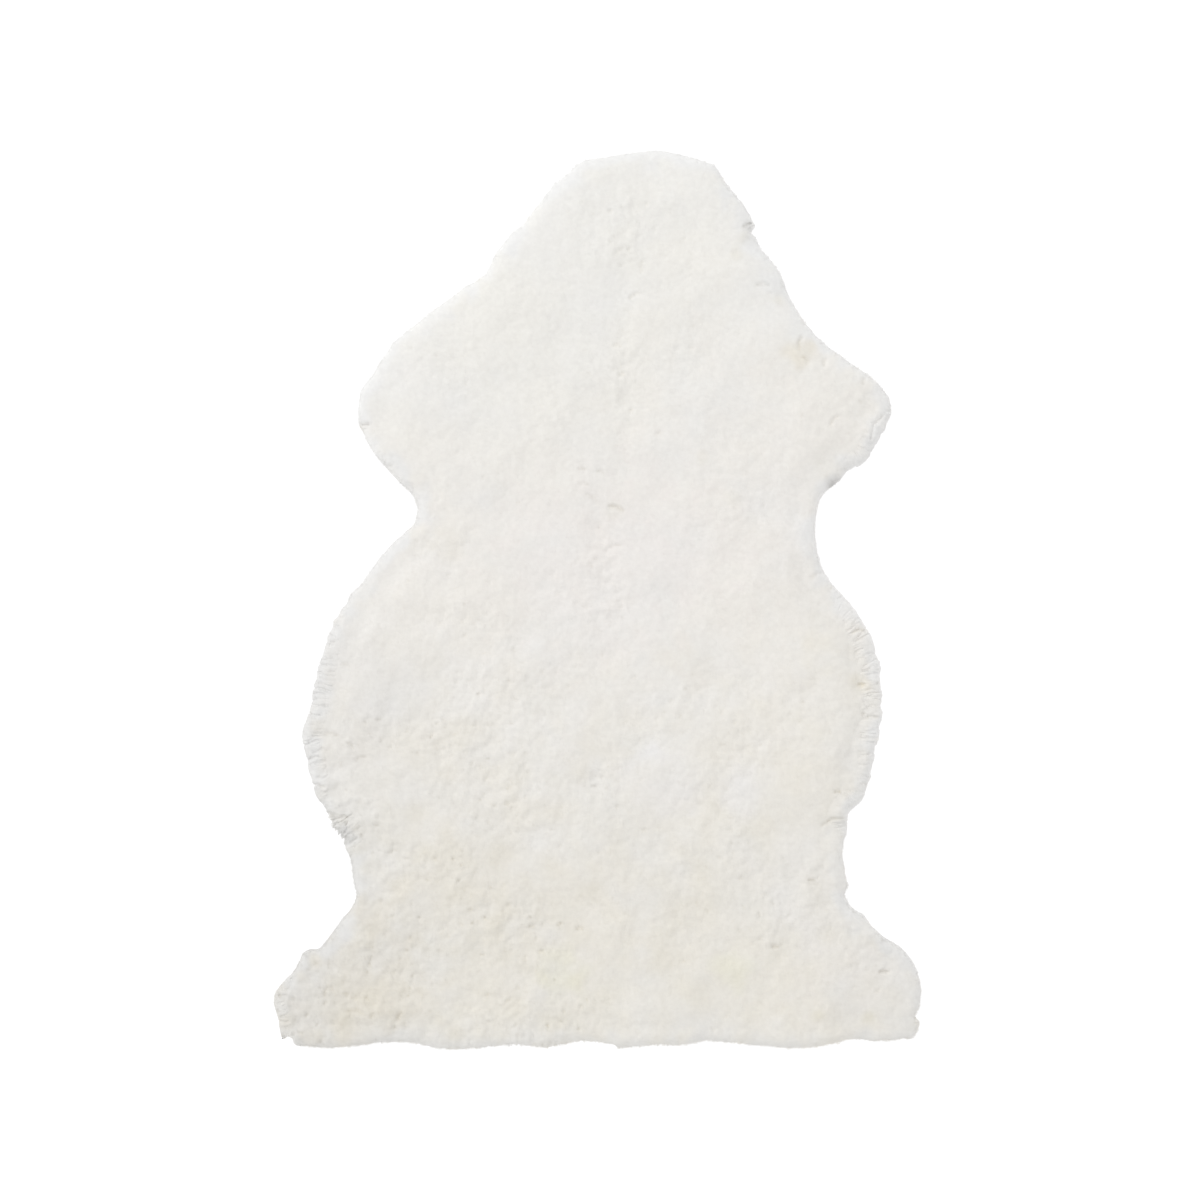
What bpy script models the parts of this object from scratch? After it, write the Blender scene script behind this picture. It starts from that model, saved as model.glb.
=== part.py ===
"""A sheepskin rug laid out flat: one tanned pelt with its wool on, a lumpy slab with locks of wool round it.

Metres, +Z up, the neck towards +Y. The flat underside lies at Z = 0, and the origin is under the middle of
the pelt's box.

The outline is where the tips of the wool end: one smooth closed curve through landmarks round the edge. The
rim of the slab runs inside it, one lock's length further in. Each lock is a three-sided wedge that lies on
the floor, from its root in that rim out to the outline. The top is a height above each point of the plan: a
crown that rolls off to the rim, wide swells, the unevenness of the tufts, and a parting along the spine.
"""

from collections import namedtuple
from math import ceil, cos, pi, radians, sin, sqrt
from random import Random

import bmesh
import bpy
import numpy as np
from mathutils import Vector
from mathutils.geometry import delaunay_2d_cdt

# Driving dimensions, in metres.
PELT_LENGTH = 0.900  # neck to rump, to the tips of the wool
CROWN_HEIGHT = 0.025  # skin and wool over the back
LEG_HEIGHT = 0.019  # skin and shorter wool on the neck and the four legs
RIM_ROLL = 0.026  # how far in from the rim the wool still rolls off
RIM_STEP = 0.0025  # the first row of points lies this far inside the rim
ROLL_STEP = 0.0095  # and the second, part of the way up the roll
TUFT_SPACING = 0.0145  # between neighbouring points of the top
FLOOR_SPACING = 0.060  # between the points inside the flat underside
SWELL_HEIGHT = 0.0012  # the wide swells rise and fall by this
TUFT_UNEVENNESS = 0.0010  # and single tufts by this
PARTING_DEPTH = 0.0022  # the parting along the spine
PARTING_WIDTH = 0.016

# The shape of a rim lock.
PITCH_UNEVENNESS = 0.2  # the most, of its stretch's pitch, that a lock is wider or narrower
BLEND_STEP = 0.012  # a lock's reach is the mean over five places this far apart
ROOT_SHARE = 0.84  # of its pitch that a lock's root takes; the rest parts it from its neighbours
LONG_LOCK = 0.0065  # locks past this length have a waist part of the way out, and shorter ones are straight
WAIST_PLACE = 0.55  # of the way from root to tip
WAIST_SHARE = 0.74  # of the root's width
WAIST_HEIGHT = 0.50  # of the root's height
WAIST_BEND = 0.35  # of the tip's sway, to the other side
TIP_UNEVENNESS = 0.10  # the most, of its reach, that a tip ends short of the outline or past it
TIP_SWAY = 0.26  # the most, of its pitch, that a tip leans to a side
FURROW_SHARE = 0.72  # of the wool's height, in the furrows between the locks' roots

# How the surfaces are divided.
ROW_SHARE = 0.866  # rows of a staggered grid lie this share of its spacing apart
GRID_WANDER = 0.24  # and its points wander by this share
ROLL_CLEARANCE = 0.85  # a point of the second row closer to the rim than this share of ROLL_STEP is left out
TUFT_CLEARANCE = 0.45  # the grid starts this share of its spacing past the second row
FLOOR_CLEARANCE = 0.020  # the points inside the flat underside start this far inside the rim
INSIDE_ONLY = 1  # the triangulation keeps what lies inside the floor outline
MERGE_DISTANCE = 1e-7
SHARP_ANGLE = radians(50)

SEED = 20
WOOL_COLOUR = (0.83, 0.80, 0.74, 1.0)
WOOL_ROUGHNESS = 0.95

# The landmarks are written in millimetres for a pelt of this length, across from the middle line and along
# from the middle of the length, and are scaled with PELT_LENGTH.
CHART_LENGTH = 900.0

Landmark = namedtuple("Landmark", "across along")
# pitch: between neighbouring locks. reach: from the rim of the slab to the tips. lean: degrees to the rump.
Stretch = namedtuple("Stretch", "name pitch reach lean landmarks")


def landmarks(*rows):
    return [Landmark(*row) for row in rows]


OUTLINE = [  # clockwise, seen from above
    Stretch("neck", 14, 4.5, 0, landmarks(
        (-14, 437), (20, 445), (51, 449), (85, 445), (117, 435), (127, 418), (145, 396))),
    Stretch("right shoulder", 13, 5, 20, landmarks(
        (154, 370), (164, 350), (179, 331), (188, 309), (205, 280), (219, 262), (243, 244), (272, 225))),
    Stretch("right foreleg", 7, 10, 10, landmarks(
        (286, 211), (294, 191), (286, 169), (268, 140), (249, 129), (232, 111))),
    Stretch("right waist", 12, 5, 10, landmarks(
        (221, 98), (218, 72), (221, 44), (229, 22), (250, 0))),
    Stretch("right flank", 6.5, 14, 8, landmarks(
        (267, -24), (279, -53), (284, -90), (283, -120), (279, -146), (271, -180), (264, -200))),
    Stretch("right thigh", 11, 6, 8, landmarks(
        (250, -214), (250, -228), (245, -254), (250, -283), (247, -297), (260, -314), (290, -340))),
    Stretch("right hind leg", 10, 6, 0, landmarks(
        (309, -354), (321, -373), (324, -392), (320, -415), (320, -431), (311, -440))),
    Stretch("rump", 13, 5, 0, landmarks(
        (282, -441), (255, -439), (226, -446), (199, -449), (164, -446), (110, -441), (79, -446),
        (43, -446), (23, -449), (3, -442), (-30, -442), (-48, -447), (-79, -445), (-122, -449),
        (-162, -448), (-186, -443), (-213, -442), (-247, -447), (-280, -448), (-302, -444))),
    Stretch("left hind leg", 10, 6, 0, landmarks(
        (-315, -438), (-318, -418), (-324, -402), (-320, -389), (-308, -374), (-296, -355),
        (-278, -348), (-258, -325))),
    Stretch("left thigh", 8, 8, 8, landmarks(
        (-242, -303), (-241, -288), (-246, -262), (-256, -236))),
    Stretch("left flank", 7, 14, 8, landmarks(
        (-268, -220), (-284, -187), (-290, -160), (-294, -129), (-287, -108), (-281, -80),
        (-273, -49), (-262, -20), (-243, 9), (-221, 36), (-199, 64))),
    Stretch("left waist", 12, 5, 10, landmarks(
        (-184, 75), (-180, 92), (-188, 108), (-203, 122))),
    Stretch("left foreleg", 9, 7, 10, landmarks(
        (-222, 146), (-237, 173), (-239, 192), (-235, 212), (-223, 225), (-204, 256), (-186, 271))),
    Stretch("left shoulder", 13, 5, 20, landmarks(
        (-160, 291), (-138, 309), (-112, 325), (-104, 344), (-95, 357), (-76, 375), (-46, 410))),
]

# Where the wool is shorter than on the back: each place is a disc that fades out at its radius.
ShortWool = namedtuple("ShortWool", "name across along radius")
SHORT_WOOL = [
    ShortWool("neck", 60, 450, 170),
    ShortWool("right foreleg", 300, 190, 120),
    ShortWool("left foreleg", -250, 200, 110),
    ShortWool("right hind leg", 330, -420, 130),
    ShortWool("left hind leg", -330, -430, 130),
]

# The wide swells of the back. length: crest to crest. turn: the direction across the crests, from +X.
Swell = namedtuple("Swell", "length turn shift share")
SWELLS = [
    Swell(128, 24, 0.3, 0.9),
    Swell(87, 131, 1.9, 0.7),
    Swell(61, 78, 4.1, 0.5),
    Swell(47, 164, 2.6, 0.4),
]

# The parting's route down the spine.
PARTING = landmarks((36, 350), (24, 250), (30, 150), (10, 104), (-2, 94), (6, 60), (14, -10))


def millimetres(value):
    """A chart length in metres, on a pelt of PELT_LENGTH."""
    return value / CHART_LENGTH * PELT_LENGTH


def on_spline(before, start, end, after, share):
    """A point of the Catmull-Rom curve that runs from start to end."""
    square, cube = share**2, share**3
    return 0.5 * (
        2 * start
        + (end - before) * share
        + (2 * before - 5 * start + 4 * end - after) * square
        + (3 * start - before - 3 * end + after) * cube
    )


def smooth_loop(corners, step):
    """Points about step apart on a smooth closed curve through the corners, and each one's corner number."""
    points, owners = [], []
    count = len(corners)
    for number in range(count):
        before, start, end, after = (corners[(number + k) % count] for k in (-1, 0, 1, 2))
        pieces = max(1, ceil((end - start).length / step))
        for piece in range(pieces):
            points.append(on_spline(before, start, end, after, piece / pieces))
            owners.append(number)
    return points, owners


class Outline:
    """The closed curve of the wool's tips, read by its distance from the first landmark."""

    STEP = 0.002
    NORMAL_SPAN = 0.012  # the outward direction is taken across this much of the curve, to each side

    def __init__(self):
        corners, self.kinds = [], []
        for stretch in OUTLINE:
            for mark in stretch.landmarks:
                corners.append(Vector((millimetres(mark.across), millimetres(mark.along))))
                self.kinds.append(stretch)
        points, owners = smooth_loop(corners, self.STEP)
        low = Vector((min(p.x for p in points), min(p.y for p in points)))
        high = Vector((max(p.x for p in points), max(p.y for p in points)))
        middle, scale = (low + high) / 2, PELT_LENGTH / (high.y - low.y)
        self.points = [(point - middle) * scale for point in points]
        self.owners = owners
        self.at = [0.0]
        for a, b in zip(self.points, self.points[1:] + self.points[:1]):
            self.at.append(self.at[-1] + (b - a).length)
        self.length = self.at[-1]

    def index(self, distance):
        distance %= self.length
        return int(np.searchsorted(self.at, distance, side="right")) - 1

    def place(self, distance):
        distance %= self.length
        number = self.index(distance)
        start, end = self.points[number], self.points[(number + 1) % len(self.points)]
        return start.lerp(end, (distance - self.at[number]) / (self.at[number + 1] - self.at[number]))

    def outward(self, distance):
        along = self.place(distance + self.NORMAL_SPAN) - self.place(distance - self.NORMAL_SPAN)
        return Vector((-along.y, along.x)).normalized()

    def stretch(self, distance):
        return self.kinds[self.owners[self.index(distance)]]


def chart_point(row):
    return Vector((millimetres(row.across), millimetres(row.along)))


def blended_reach(outline, distance):
    """The rim locks' reach here, evened out so that it doesn't jump where one stretch meets the next."""
    around = [distance + step * BLEND_STEP for step in range(-2, 3)]
    return sum(millimetres(outline.stretch(place).reach) for place in around) / len(around)


def rim_place(outline, distance):
    """A point of the slab's rim: straight in from the outline by the locks' reach."""
    return outline.place(distance) - outline.outward(distance) * blended_reach(outline, distance)


def lock_spans(outline, draw):
    """The stretch of outline that each lock takes, as (start, end), all the way round."""
    widths, total = [], 0.0
    while total < outline.length:
        pitch = millimetres(outline.stretch(total).pitch)
        widths.append(pitch * draw.uniform(1 - PITCH_UNEVENNESS, 1 + PITCH_UNEVENNESS))
        total += widths[-1]
    spans, start = [], 0.0
    for width in widths:
        end = start + width * outline.length / total
        spans.append((start, end))
        start = end
    return spans


# A lock's points in plan. A straight one has no waist. The crest, behind its root, the furrow, between it and
# the next, and the roll, further in, are on the slab.
Lock = namedtuple("Lock", "left right crest waist tip furrow roll")


def rim_lock(outline, span, draw):
    start, end = span
    middle, pitch = (start + end) / 2, end - start
    half_root = ROOT_SHARE * pitch / 2
    left, right = (rim_place(outline, middle + side * half_root) for side in (-1, 1))
    outward = outline.outward(middle)
    reach = blended_reach(outline, middle)
    lean = Vector((0.0, -sin(radians(outline.stretch(middle).lean))))
    sway = Vector((outward.y, -outward.x)) * pitch * draw.uniform(-TIP_SWAY, TIP_SWAY)
    root = (left + right) / 2
    way = (outward + lean).normalized() * (1 + draw.uniform(-TIP_UNEVENNESS, TIP_UNEVENNESS))
    tip = root + way * reach + sway
    waist = None
    if reach > LONG_LOCK:
        centre = root.lerp(tip, WAIST_PLACE) - sway * WAIST_BEND
        half_waist = (right - left) / 2 * WAIST_SHARE
        waist = (centre - half_waist, centre, centre + half_waist)
    furrow = rim_place(outline, end) - outline.outward(end) * RIM_STEP
    crest, roll = root - outward * RIM_STEP, root - outward * ROLL_STEP
    return Lock(left, right, crest, waist, tip, furrow, roll)


def distance_to_loop(points, loop):
    """Each point's distance to a closed loop, and whether the loop holds it."""
    points, start = np.array(points)[:, None], np.array(loop)
    run = np.roll(start, -1, axis=0) - start
    offset = points - start
    share = np.clip((offset * run).sum(axis=2) / (run**2).sum(axis=1), 0, 1)
    nearest = np.sqrt(((offset - share[..., None] * run) ** 2).sum(axis=2)).min(axis=1)
    above, above_next = start[:, 1] > points[..., 1], np.roll(start[:, 1], -1) > points[..., 1]
    rise = np.where(run[:, 1] == 0, 1, run[:, 1])
    crossing = start[:, 0] + offset[..., 1] / rise * run[:, 0]
    holds = ((above != above_next) & (crossing > points[..., 0])).sum(axis=1) % 2 == 1
    return nearest, holds


def distance_to_route(point, route):
    """A point's distance to an open route of points."""
    nearest = []
    for start, end in zip(route, route[1:]):
        run = end - start
        share = min(1.0, max(0.0, (point - start).dot(run) / run.length_squared))
        nearest.append((start + run * share - point).length)
    return min(nearest)


def crown_height(point):
    """The height of the wool well inside the rim, less on the neck and the legs."""
    short = 0.0
    for place in SHORT_WOOL:
        away = (point - chart_point(place)).length / millimetres(place.radius)
        fade = max(0.0, 1.0 - away)
        short = max(short, fade * fade * (3 - 2 * fade))
    return CROWN_HEIGHT + (LEG_HEIGHT - CROWN_HEIGHT) * short


def wool_height(point, inside):
    """The height of the wool's top at a point this far inside the slab's rim."""
    share = min(1.0, inside / RIM_ROLL)
    roll = sqrt(1 - (1 - share) ** 2)
    swell = 0.0
    for wave in SWELLS:
        across = point.x * cos(radians(wave.turn)) + point.y * sin(radians(wave.turn))
        swell += wave.share * sin(2 * pi * across / millimetres(wave.length) + wave.shift)
    parting = distance_to_route(point, [chart_point(row) for row in PARTING]) / PARTING_WIDTH
    height = crown_height(point) + SWELL_HEIGHT * swell - PARTING_DEPTH * 2 ** -(parting**2)
    return height * roll


def grid_inside(loop, spacing, clearance, draw):
    """(point, distance to the loop) over a staggered grid inside a loop, each moved a little at random."""
    low, high = np.min(loop, axis=0), np.max(loop, axis=0)
    row_spacing = spacing * ROW_SHARE
    grid = []
    for row in range(int((high[1] - low[1]) / row_spacing) + 1):
        for column in range(int((high[0] - low[0]) / spacing) + 2):
            x = low[0] + spacing * (column - 0.5 * (row % 2) + draw.uniform(-GRID_WANDER, GRID_WANDER))
            y = low[1] + row_spacing * (row + draw.uniform(-GRID_WANDER, GRID_WANDER))
            grid.append((x, y))
    nearest, holds = distance_to_loop(grid, loop)
    keep = holds & (nearest > clearance)
    return [(Vector(point), inside) for point, inside, kept in zip(grid, nearest, keep) if kept]


class Plan:
    """The pelt's points in plan with their heights: the floor outline first, then what lies inside it."""

    def __init__(self, locks):
        self.points, self.ridges, crests = [], [], []
        for lock in locks:
            near, far = ([lock.waist[0]], [lock.waist[2]]) if lock.waist else ([], [])
            first = len(self.points)
            self.points += [lock.left, *near, lock.tip, *far, lock.right]
            crests.append((lock, first, first + 1 + len(near)))
        self.edge_size = len(self.points)
        self.heights = [0.0] * self.edge_size
        for lock, left, tip in crests:
            root = self.add(lock.crest, wool_height(lock.crest, RIM_STEP))
            if lock.waist:
                waist = self.add(lock.waist[1], self.heights[root] * WAIST_HEIGHT)
                self.ridges += [(root, waist), (waist, tip), (left + 1, waist), (waist, tip + 1)]
            else:
                self.ridges.append((root, tip))
            self.add(lock.furrow, wool_height(lock.furrow, RIM_STEP) * FURROW_SHARE)

    def add(self, point, height):
        self.points.append(point)
        self.heights.append(height)
        return len(self.points) - 1

    def triangles(self, more_points, ridges):
        """Triangles over the floor outline, through its own points or more_points alone."""
        points = self.points[: self.edge_size] + more_points
        loop = list(range(self.edge_size))
        found = delaunay_2d_cdt(points, ridges, [loop], INSIDE_ONLY, MERGE_DISTANCE)
        source = [numbers[0] for numbers in found[3]]
        return [[source[corner] for corner in face] for face in found[2]]


def add_triangles(mesh, corners, triangles, upwards):
    for triangle in triangles:
        a, b, c = (corners[number] for number in triangle)
        turns_left = (b.co - a.co).xy.cross((c.co - a.co).xy) > 0
        mesh.faces.new((a, b, c) if turns_left == upwards else (a, c, b))


def pelt_mesh(outline, draw):
    """The pelt as one closed mesh: the wool's top and the flat underside, which meet at the floor outline."""
    locks = [rim_lock(outline, span, draw) for span in lock_spans(outline, draw)]
    rim = [tuple(point) for lock in locks for point in (lock.left, lock.right)]
    plan = Plan(locks)
    rolls = [tuple(lock.roll) for lock in locks]
    for point, inside, held in zip(rolls, *distance_to_loop(rolls, rim)):
        if held and inside > ROLL_STEP * ROLL_CLEARANCE:
            plan.add(Vector(point), wool_height(Vector(point), inside))
    for point, inside in grid_inside(rim, TUFT_SPACING, ROLL_STEP + TUFT_SPACING * TUFT_CLEARANCE, draw):
        plan.add(point, wool_height(point, inside) + draw.uniform(-TUFT_UNEVENNESS, TUFT_UNEVENNESS))
    floor = [point for point, _ in grid_inside(rim, FLOOR_SPACING, FLOOR_CLEARANCE, draw)]

    mesh = bmesh.new()
    corners = [mesh.verts.new((*point, height)) for point, height in zip(plan.points, plan.heights)]
    add_triangles(mesh, corners, plan.triangles(plan.points[plan.edge_size :], plan.ridges), True)
    under = corners[: plan.edge_size] + [mesh.verts.new((*point, 0.0)) for point in floor]
    add_triangles(mesh, under, plan.triangles(floor, []), False)

    tips = np.array(plan.points[: plan.edge_size])
    middle = (tips.min(axis=0) + tips.max(axis=0)) / 2
    bmesh.ops.translate(mesh, verts=mesh.verts, vec=(-middle[0], -middle[1], 0.0))
    return mesh


def wool_material():
    material = bpy.data.materials.new("wool")
    material.use_nodes = True
    material.diffuse_color = WOOL_COLOUR
    shader = material.node_tree.nodes["Principled BSDF"]
    shader.inputs["Base Color"].default_value = WOOL_COLOUR
    shader.inputs["Roughness"].default_value = WOOL_ROUGHNESS
    shader.inputs["Metallic"].default_value = 0.0
    return material


def build():
    for left_over in list(bpy.data.objects):
        bpy.data.objects.remove(left_over)
    mesh = bpy.data.meshes.new("pelt")
    shape = pelt_mesh(Outline(), Random(SEED))
    shape.to_mesh(mesh)
    shape.free()
    mesh.materials.append(wool_material())
    mesh.shade_smooth()
    mesh.set_sharp_from_angle(angle=SHARP_ANGLE)
    bpy.context.scene.collection.objects.link(bpy.data.objects.new("pelt", mesh))


build()
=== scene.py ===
"""The looks of a sheepskin rug laid flat, wool up, on a plain pale floor and seen from straight above.

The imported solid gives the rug's reach and the height of its wool. On it are built the tanned hide, a dense
fleece with a tufted top, curved strands of wool all over it, and longer locks combed out over the rim.
Metres, +Z up, the neck towards +Y. A pair of values is a range to draw from, or the two ends of a change.
"""

from math import radians, sqrt

import bpy
import numpy as np
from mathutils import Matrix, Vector
from mathutils.bvhtree import BVHTree


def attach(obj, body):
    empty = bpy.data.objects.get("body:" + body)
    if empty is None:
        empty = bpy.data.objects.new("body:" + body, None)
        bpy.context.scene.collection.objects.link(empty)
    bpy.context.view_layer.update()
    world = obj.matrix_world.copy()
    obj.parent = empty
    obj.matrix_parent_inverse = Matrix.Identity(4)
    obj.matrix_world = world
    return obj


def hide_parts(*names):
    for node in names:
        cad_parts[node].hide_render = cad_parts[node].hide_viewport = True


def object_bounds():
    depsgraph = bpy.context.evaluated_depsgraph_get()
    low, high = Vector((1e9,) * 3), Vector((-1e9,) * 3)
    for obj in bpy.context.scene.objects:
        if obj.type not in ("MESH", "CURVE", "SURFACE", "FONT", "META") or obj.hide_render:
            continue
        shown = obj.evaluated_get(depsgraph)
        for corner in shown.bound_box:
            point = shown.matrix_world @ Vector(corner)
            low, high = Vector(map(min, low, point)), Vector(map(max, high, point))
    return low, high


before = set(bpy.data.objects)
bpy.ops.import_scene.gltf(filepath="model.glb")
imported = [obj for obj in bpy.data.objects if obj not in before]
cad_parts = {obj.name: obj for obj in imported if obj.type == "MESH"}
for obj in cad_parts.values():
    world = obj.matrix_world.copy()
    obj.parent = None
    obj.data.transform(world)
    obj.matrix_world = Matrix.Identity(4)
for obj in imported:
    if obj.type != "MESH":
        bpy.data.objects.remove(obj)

CAD_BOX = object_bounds()
NODE = "pelt"
BODY = "root"

# The photograph's frame.
IMAGE_SIDE = 1200  # pixels
RUG_TOP, RUG_FOOT = 151, 1049  # the rows of pixels where the neck begins and the rump ends
RUG_LEFT, RUG_RIGHT = 274, 922  # and the columns of the leftmost and rightmost wool
CAMERA_HEIGHT = 3.2

# The stage.
FLOOR_SIDE = 14
FLOOR_HEIGHT = 0.0001  # so that it and the underside of the hide are not in one plane
FLOOR_GREY = 0.35
FLOOR_GLOW = 0.8
WORLD_STRENGTH = 0.720
SUN_STRENGTH = 0.85
SUN_ANGLE = radians(50)  # wide, for soft shadows
SUN_PLACE = -0.55, 0.55, 0.9  # the way from the rug to the sun: up and to the left
LIGHT_BOUNCES = 12
WHITE = 1, 1, 1, 1

# The plan is sampled on a square grid.
GRID_STEP = 0.002
GRID_MARGIN = 0.012
SMOOTHING = 0.004  # the solid's facets and locks are evened out over this width
TIP_ANGLE = radians(125)  # the floor outline turns at less than this at the tip of a lock
ON_FLOOR = 1e-5  # points lower than this are on the floor
RAY_HEIGHT = 1  # heights are read by rays that fall from here
PLACES_AT_ONCE = 20000

# Smooth noises over the plan: the seed of each, and how wide its bumps are.
NOISES = {
    "tuft shift, x": (8, 0.006),
    "tuft shift, y": (9, 0.006),
    "clumps": (11, 0.017),
    "curls": (22, 0.009),
    "unrest": (13, 0.045),
    "pit shift, x": (16, 0.004),
    "pit shift, y": (17, 0.004),
    "pale": (14, 0.050),
    "fleck": (15, 0.014),
    "brown": (23, 0.021),
    "flow": (18, 0.030),
    "fine flow": (19, 0.011),
    "strip edge": (21, 0.004),
}
STRAND_SEED, TUFT_SEED, PIT_SEED, FURROW_SEED = 7, 10, 12, 20

# The hide.
HIDE_THICKNESS = 0.0018
HIDE_INSET = 0.014  # from the tips of the wool in to the edge of the hide
HIDE_SPACING = 0.012

# The body of the wool: its top follows the solid's crown, and rolls off only close to the rim.
SOLID_ROLL = 0.026  # the solid's top starts to roll off this far in from the tips
RIM_ROLL = 0.016  # and the wool's here
NECK_ROLL = 0.030  # or here from the shoulders up, where it is shorn
SHOULDERS = 0.15, 0.25  # it goes from the one roll to the other between these, up the rug
RIM_SQUARENESS = 2.6  # 2 would be round

# The fleece.
FLEECE_SPACING = 0.00225
FLEECE_INSET = 0.0013  # from the tips of the wool in to the edge of the fleece
FLEECE_LOCK_INSET = 0.0016  # and this much further in where the wool is long
STRINGY_INSET = 0.0045  # and this much again where it hangs in strings
FLEECE_FOOT = 0.0008  # its rim stands this high, inside the hide's thickness
FLEECE_DEPTH = 0.0006  # its tufts end this far under the solid's top
TUFT_PITCH = 0.0066
TUFT_SHIFT = 0.0013  # noise moves the tufts by up to about this
TUFT_DOME = 0.0009  # from the edge of a tuft up to its middle
TUFT_STEP = 0.0005  # tufts stand this much over or under their neighbours
CLUMP_HEIGHT = 0.001
CURL_HEIGHT = 0.0006  # within a clump
PIT_PITCH = 0.013
PIT_SHIFT = 0.0014
PIT_RADIUS = 0.0016
PIT_DEPTH = 0.002

# How tufted the wool is changes in regions, and each comes in between two values of x or y.
LOW_DOWN, LEFT_SIDE = (0.05, -0.20), (0.03, -0.11)
RUMP_LOW, RUMP_RIGHT = (-0.34, -0.40), (-0.22, -0.16)
BY_RIM = 0.06  # or this far in from the rim

# Places in plan where the wool is long and combed outwards: each fades out at its radius.
LONG_WOOL = [  # name, x, y, radius, length up to 1
    ("left flank", -0.275, -0.12, 0.125, 0.75),
    ("foot of the left flank", -0.257, -0.226, 0.034, 1.0),
    ("right flank", 0.272, -0.085, 0.135, 0.8),
    ("right foreleg", 0.275, 0.15, 0.05, 0.55),
    ("foot of the right flank", 0.256, -0.21, 0.03, 0.78),
    ("left hind foot", -0.312, -0.41, 0.045, 0.4),
]

# The parting down the spine, where the wool is unsettled.
SPINE = np.array([
    (0.028, 0.39), (0.036, 0.33), (0.024, 0.25), (0.03, 0.15), (0.008, 0.08), (0.014, -0.02)
])
SPINE_WIDTH = 0.016

# Furrows and small pits seen in the wool, each by its middle; its turn is in degrees from +X.
MARK_WIDTH = 0.0015
MARK_BEND = 0.3  # its middle bows out by this share of half its length
MARKS = {  # x, y, length, turn and depth of each
    "spine": [
        (-0.006, 0.1005, 0.016, -38, 0.0016), (0.018, 0.0905, 0.016, -15, 0.003),
        (-0.016, 0.13, 0.007, -10, 0.0018), (0.003, 0.127, 0.007, -15, 0.0018),
        (-0.014, 0.115, 0.008, 0, 0.0012), (0.06, 0.165, 0.006, 20, 0.0016),
        (0.018, 0.0525, 0.013, 10, 0.0012),
    ],
    "neck": [
        (0.0125, 0.387, 0.003, 0, 0.0018), (0.021, 0.346, 0.012, 40, 0.0012),
        (0.03, 0.286, 0.01, -40, 0.0012), (0.044, 0.332, 0.01, 85, 0.0014),
        (0.0365, 0.3025, 0.011, 30, 0.0022), (0.0195, 0.2535, 0.005, 0, 0.0018),
    ],
    "hooked lock by the neck": [(0.149, 0.3735, 0.01, 35, 0.0036)],
    "right edge of the neck": [(0.164, 0.3125, 0.015, 0, 0.0018), (0.199, 0.284, 0.03, -60, 0.0012)],
    "stained right shoulder": [(0.2017, 0.2553, 0.014, 80, 0.0022), (0.2062, 0.2393, 0.008, -45, 0.002)],
    "right shoulder": [(0.226, 0.236, 0.006, 80, 0.002), (0.235, 0.178, 0.012, 55, 0.002)],
    "right foreleg": [(0.2654, 0.219, 0.005, 60, 0.0022)],
    "fold of the right foreleg": [(0.28, 0.172, 0.036, 62, 0.002)],
    "left waist": [
        (-0.234, 0.1736, 0.012, 15, 0.004), (-0.208, 0.132, 0.006, 50, 0.0022),
        (-0.186, 0.113, 0.008, -30, 0.0022),
    ],
    "left flank": [
        (-0.2654, -0.0436, 0.007, 30, 0.0018), (-0.2513, -0.065, 0.007, -20, 0.0018),
        (-0.2674, -0.1359, 0.02, 3, 0.002), (-0.2464, -0.145, 0.008, -50, 0.002),
        (-0.2363, -0.158, 0.012, 20, 0.002), (-0.2845, -0.159, 0.014, 20, 0.003),
        (-0.28, -0.186, 0.014, -5, 0.0026),
    ],
    "right waist": [(0.219, 0.024, 0.016, 20, 0.0018)],
    "right flank": [
        (0.2593, -0.0316, 0.012, 10, 0.0022), (0.2624, -0.0848, 0.006, 0, 0.0028),
        (0.2724, -0.118, 0.015, 5, 0.002), (0.2383, -0.191, 0.004, 0, 0.0028),
    ],
    "foot of the right flank": [(0.235, -0.2215, 0.026, 15, 0.0026)],
    "right hind leg": [
        (0.213, -0.279, 0.004, 0, 0.0026), (0.285, -0.371, 0.009, 0, 0.003),
        (0.279, -0.39, 0.005, 30, 0.0016),
    ],
    "rump": [
        (0.176, -0.345, 0.004, 0, 0.0026), (-0.018, -0.327, 0.004, 0, 0.0024),
        (-0.0376, -0.323, 0.004, 30, 0.0024), (-0.066, -0.325, 0.004, 0, 0.0024),
        (-0.057, -0.35, 0.004, 0, 0.0024),
    ],
    "left hind leg": [
        (-0.226, -0.36, 0.01, 80, 0.002), (-0.2704, -0.39, 0.01, 70, 0.0028),
        (-0.242, -0.4115, 0.02, -10, 0.0018), (-0.197, -0.414, 0.009, 60, 0.0018),
    ],
}

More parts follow.
